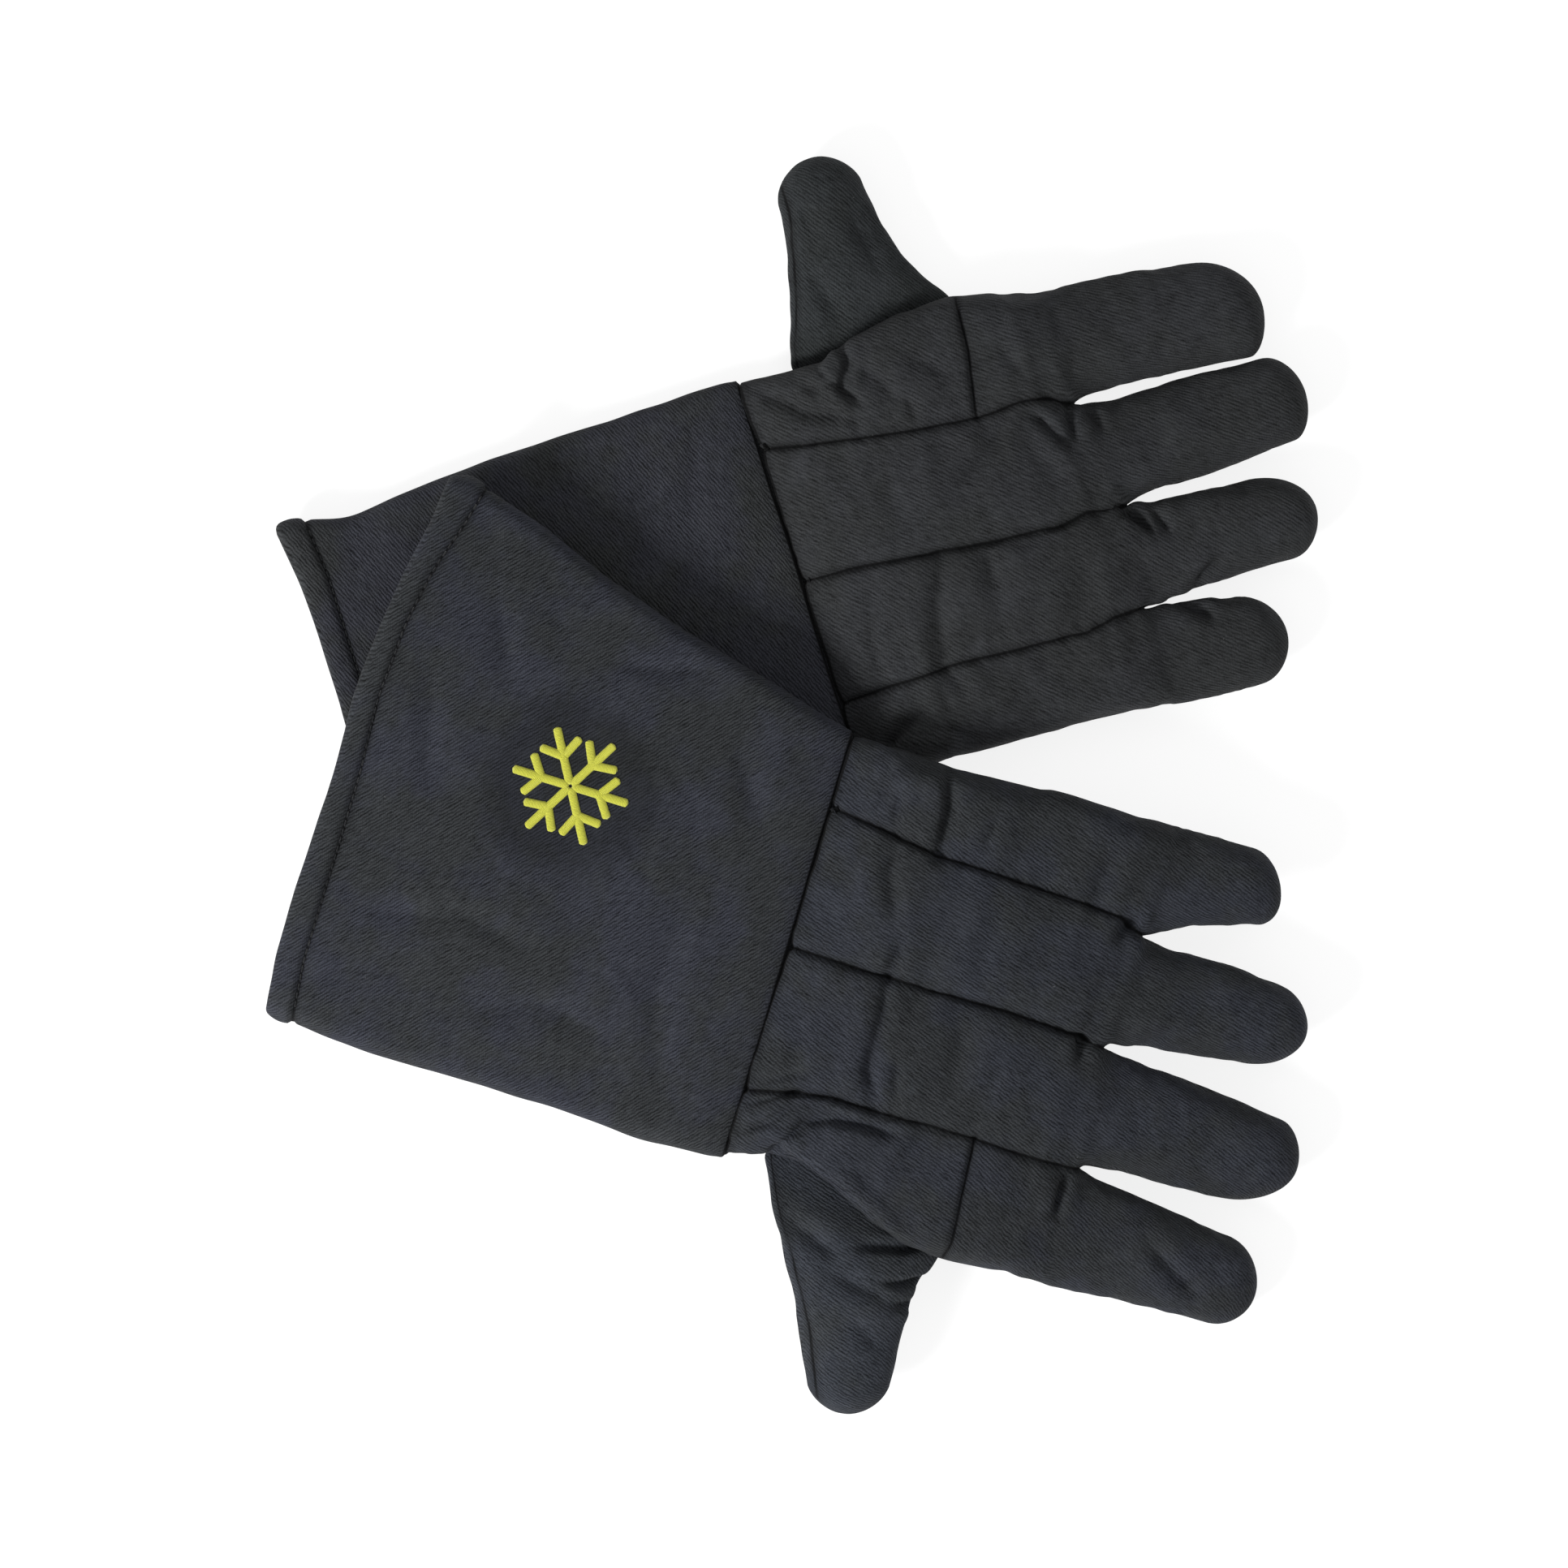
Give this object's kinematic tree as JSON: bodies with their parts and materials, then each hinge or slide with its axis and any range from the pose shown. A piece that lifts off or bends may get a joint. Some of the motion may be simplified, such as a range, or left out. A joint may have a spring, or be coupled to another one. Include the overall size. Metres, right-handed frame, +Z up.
{
  "type": "cryogenic gloves",
  "caption": "Padded gauntlet gloves with flared cuffs, laid flat and overlapping, palms down, with bending wrists, fingers and thumbs.",
  "frame": {"origin": "centre of the pair's footprint, on the surface that the lower glove rests on", "axes": "+Z up, away from the surface; +X towards the fingertips of both gloves; +Y from the left glove towards the right glove"},
  "size_m": [0.4019, 0.4797, 0.0489],
  "materials": {
    "cuff_twill": "dark blue-grey cotton twill, matte",
    "hem_twill": "folded and stitched edge of the cuff twill",
    "hand_twill": "charcoal twill, matte",
    "quilted_batting": "soft insulating fleece",
    "lining_fabric": "smooth woven lining",
    "embroidery_thread": "yellow satin-stitch thread, slight sheen"
  },
  "bodies": {
    "right_cuff": {"right_cuff_shell": "cuff_twill", "right_cuff_hem": "hem_twill", "right_cuff_batting": "quilted_batting", "right_cuff_lining": "lining_fabric"},
    "right_hand": {"right_back_strips": "hand_twill", "right_palm_panel": "hand_twill", "right_hand_batting": "quilted_batting", "right_hand_lining": "lining_fabric"},
    "right_index_base": {"right_index_base_shell": "hand_twill", "right_index_base_padding": "quilted_batting"},
    "right_index_tip": {"right_index_tip_shell": "hand_twill", "right_index_tip_padding": "quilted_batting"},
    "right_middle_base": {"right_middle_base_shell": "hand_twill", "right_middle_base_padding": "quilted_batting"},
    "right_middle_tip": {"right_middle_tip_shell": "hand_twill", "right_middle_tip_padding": "quilted_batting"},
    "right_ring_base": {"right_ring_base_shell": "hand_twill", "right_ring_base_padding": "quilted_batting"},
    "right_ring_tip": {"right_ring_tip_shell": "hand_twill", "right_ring_tip_padding": "quilted_batting"},
    "right_little_base": {"right_little_base_shell": "hand_twill", "right_little_base_padding": "quilted_batting"},
    "right_little_tip": {"right_little_tip_shell": "hand_twill", "right_little_tip_padding": "quilted_batting"},
    "right_thumb_base": {"right_thumb_base_shell": "hand_twill", "right_thumb_base_padding": "quilted_batting"},
    "right_thumb_tip": {"right_thumb_tip_shell": "hand_twill", "right_thumb_tip_padding": "quilted_batting"},
    "left_cuff": {"left_cuff_shell": "cuff_twill", "left_cuff_hem": "hem_twill", "left_cuff_batting": "quilted_batting", "left_cuff_lining": "lining_fabric", "left_cuff_badge": "embroidery_thread"},
    "left_hand": {"left_back_strips": "hand_twill", "left_palm_panel": "hand_twill", "left_hand_batting": "quilted_batting", "left_hand_lining": "lining_fabric"},
    "left_index_base": {"left_index_base_shell": "hand_twill", "left_index_base_padding": "quilted_batting"},
    "left_index_tip": {"left_index_tip_shell": "hand_twill", "left_index_tip_padding": "quilted_batting"},
    "left_middle_base": {"left_middle_base_shell": "hand_twill", "left_middle_base_padding": "quilted_batting"},
    "left_middle_tip": {"left_middle_tip_shell": "hand_twill", "left_middle_tip_padding": "quilted_batting"},
    "left_ring_base": {"left_ring_base_shell": "hand_twill", "left_ring_base_padding": "quilted_batting"},
    "left_ring_tip": {"left_ring_tip_shell": "hand_twill", "left_ring_tip_padding": "quilted_batting"},
    "left_little_base": {"left_little_base_shell": "hand_twill", "left_little_base_padding": "quilted_batting"},
    "left_little_tip": {"left_little_tip_shell": "hand_twill", "left_little_tip_padding": "quilted_batting"},
    "left_thumb_base": {"left_thumb_base_shell": "hand_twill", "left_thumb_base_padding": "quilted_batting"},
    "left_thumb_tip": {"left_thumb_tip_shell": "hand_twill", "left_thumb_tip_padding": "quilted_batting"}
  },
  "joints": [
    {"name": "upper_glove_lift", "type": "slide", "parent": "right_cuff", "child": "left_cuff", "axis": [0, 0, 1], "range_m": [0, 0.2]},
    {"name": "right_wrist_bend", "type": "hinge", "parent": "right_cuff", "child": "right_hand", "pos_m": [0.01325, 0.07905, 0.009], "axis": [-0.3007, 0.9537, 0], "range_deg": [0, 60]},
    {"name": "right_index_root_bend", "type": "hinge", "parent": "right_hand", "child": "right_index_base", "pos_m": [0.10347, 0.16936, 0.0115], "axis": [-0.1994, 0.9799, 0], "range_deg": [-15, 70]},
    {"name": "right_index_middle_bend", "type": "hinge", "parent": "right_index_base", "child": "right_index_tip", "pos_m": [0.13817, 0.17642, 0.0115], "axis": [-0.1994, 0.9799, 0], "range_deg": [0, 75]},
    {"name": "right_middle_root_bend", "type": "hinge", "parent": "right_hand", "child": "right_middle_base", "pos_m": [0.12096, 0.12717, 0.0115], "axis": [-0.3007, 0.9537, 0], "range_deg": [-15, 70]},
    {"name": "right_middle_middle_bend", "type": "hinge", "parent": "right_middle_base", "child": "right_middle_tip", "pos_m": [0.15518, 0.13795, 0.0115], "axis": [-0.3007, 0.9537, 0], "range_deg": [0, 75]},
    {"name": "right_ring_root_bend", "type": "hinge", "parent": "right_hand", "child": "right_ring_base", "pos_m": [0.13403, 0.08903, 0.0115], "axis": [-0.2554, 0.9668, 0], "range_deg": [-15, 70]},
    {"name": "right_ring_middle_bend", "type": "hinge", "parent": "right_ring_base", "child": "right_ring_tip", "pos_m": [0.16406, 0.09696, 0.0115], "axis": [-0.2554, 0.9668, 0], "range_deg": [0, 75]},
    {"name": "right_little_root_bend", "type": "hinge", "parent": "right_hand", "child": "right_little_base", "pos_m": [0.14213, 0.05006, 0.0115], "axis": [-0.1822, 0.9833, 0], "range_deg": [-15, 70]},
    {"name": "right_little_middle_bend", "type": "hinge", "parent": "right_little_base", "child": "right_little_tip", "pos_m": [0.16316, 0.05396, 0.0115], "axis": [-0.1822, 0.9833, 0], "range_deg": [0, 75]},
    {"name": "right_thumb_root_bend", "type": "hinge", "parent": "right_hand", "child": "right_thumb_base", "pos_m": [0.02558, 0.18359, 0.0115], "axis": [-0.9483, -0.3173, 0], "range_deg": [-10, 55]},
    {"name": "right_thumb_middle_bend", "type": "hinge", "parent": "right_thumb_base", "child": "right_thumb_tip", "pos_m": [0.01697, 0.20933, 0.0115], "axis": [-0.9483, -0.3173, 0], "range_deg": [0, 60]},
    {"name": "left_wrist_bend", "type": "hinge", "parent": "left_cuff", "child": "left_hand", "pos_m": [0.00769, -0.06282, 0.032], "axis": [0.2925, 0.9549, 0.052], "range_deg": [-60, 0]},
    {"name": "left_index_root_bend", "type": "hinge", "parent": "left_hand", "child": "left_index_base", "pos_m": [0.1046, -0.16887, 0.01702], "axis": [0.309, 0.9497, 0.0501], "range_deg": [-15, 70]},
    {"name": "left_index_middle_bend", "type": "hinge", "parent": "left_index_base", "child": "left_index_tip", "pos_m": [0.13783, -0.17948, 0.01314], "axis": [0.309, 0.9497, 0.0501], "range_deg": [0, 75]},
    {"name": "left_middle_root_bend", "type": "hinge", "parent": "left_hand", "child": "left_middle_base", "pos_m": [0.11624, -0.12409, 0.01965], "axis": [0.2758, 0.9597, 0.0539], "range_deg": [-15, 70]},
    {"name": "left_middle_middle_bend", "type": "hinge", "parent": "left_middle_base", "child": "left_middle_tip", "pos_m": [0.15123, -0.13392, 0.01567], "axis": [0.2758, 0.9597, 0.0539], "range_deg": [0, 75]},
    {"name": "left_ring_root_bend", "type": "hinge", "parent": "left_hand", "child": "left_ring_base", "pos_m": [0.129, -0.07902, 0.0222], "axis": [0.2304, 0.9713, 0.059], "range_deg": [-15, 70]},
    {"name": "left_ring_middle_bend", "type": "hinge", "parent": "left_ring_base", "child": "left_ring_tip", "pos_m": [0.15953, -0.08606, 0.01885], "axis": [0.2304, 0.9713, 0.059], "range_deg": [0, 75]},
    {"name": "left_little_root_bend", "type": "hinge", "parent": "left_hand", "child": "left_little_base", "pos_m": [0.14216, -0.03605, 0.02454], "axis": [0.1913, 0.9795, 0.0632], "range_deg": [-15, 70]},
    {"name": "left_little_middle_bend", "type": "hinge", "parent": "left_little_base", "child": "left_little_tip", "pos_m": [0.16172, -0.03974, 0.02246], "axis": [0.1913, 0.9795, 0.0632], "range_deg": [0, 75]},
    {"name": "left_thumb_root_bend", "type": "hinge", "parent": "left_hand", "child": "left_thumb_base", "pos_m": [0.02085, -0.16908, 0.02459], "axis": [0.994, -0.0548, -0.0946], "range_deg": [-10, 55]},
    {"name": "left_thumb_middle_bend", "type": "hinge", "parent": "left_thumb_base", "child": "left_thumb_tip", "pos_m": [0.01885, -0.20112, 0.02213], "axis": [0.994, -0.0548, -0.0946], "range_deg": [0, 60]}
  ]
}
